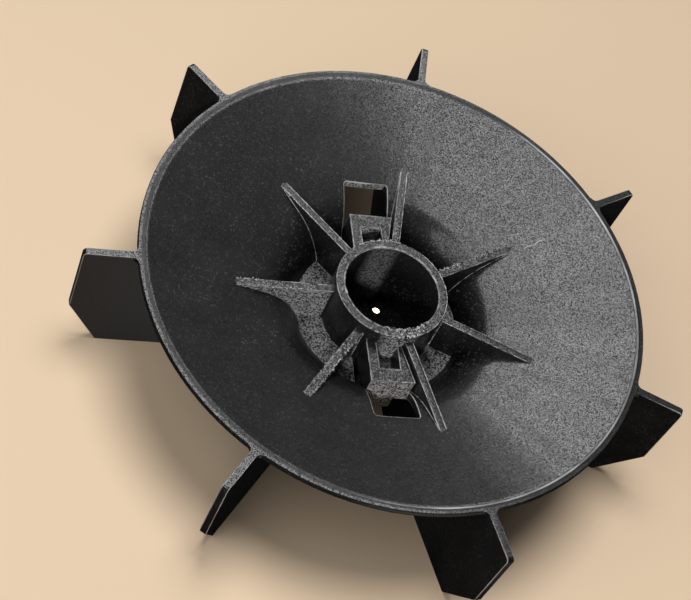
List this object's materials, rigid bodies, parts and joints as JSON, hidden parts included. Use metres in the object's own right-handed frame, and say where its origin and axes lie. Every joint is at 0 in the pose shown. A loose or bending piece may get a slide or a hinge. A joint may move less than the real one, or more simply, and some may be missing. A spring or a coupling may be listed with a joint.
{
  "type": "motor cooling fan",
  "caption": "Radial fan for the end of a motor shaft: straight blades under a dished disc, a blind hub on ribs and slotted windows with puller lugs, one black moulding.",
  "frame": {"origin": "on the shaft axis, in the plane of the hub's open mouth", "axes": "+Z along the shaft axis, out of the hub's mouth towards the motor; the blades hang towards -Z"},
  "size_m": [0.2684, 0.2678, 0.064],
  "materials": {
    "plastic": "black, satin with a fine spark-eroded grain"
  },
  "bodies": {
    "root": {"fan": "plastic"}
  },
  "joints": []
}
